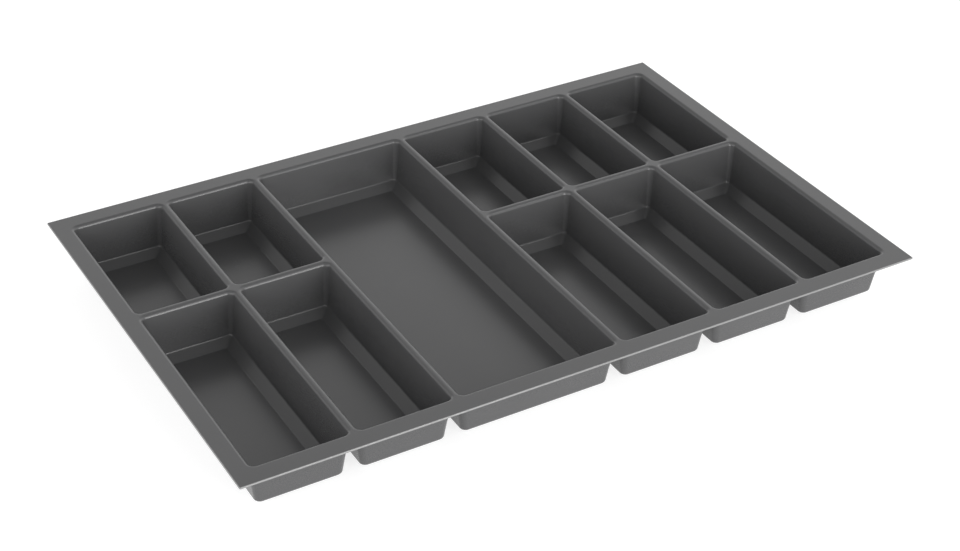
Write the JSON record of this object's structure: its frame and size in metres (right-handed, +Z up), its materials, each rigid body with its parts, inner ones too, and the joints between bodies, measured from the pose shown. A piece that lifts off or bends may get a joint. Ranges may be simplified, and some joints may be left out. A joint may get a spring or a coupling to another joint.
{
  "type": "cutlery tray",
  "caption": "Drawer insert for cutlery, formed in one piece from plastic sheet: a flat rim with drafted, bevel-floored wells of several sizes.",
  "frame": {"origin": "centre of the footprint, on the plane that the well floors rest on", "axes": "+X to the right along the tray's width, +Y towards the back of the drawer, +Z up out of the wells"},
  "size_m": [0.735, 0.49, 0.054],
  "materials": {
    "tray_plastic": "satin anthracite, fine moulded grain"
  },
  "bodies": {
    "root": {"tray": "tray_plastic"}
  },
  "joints": []
}
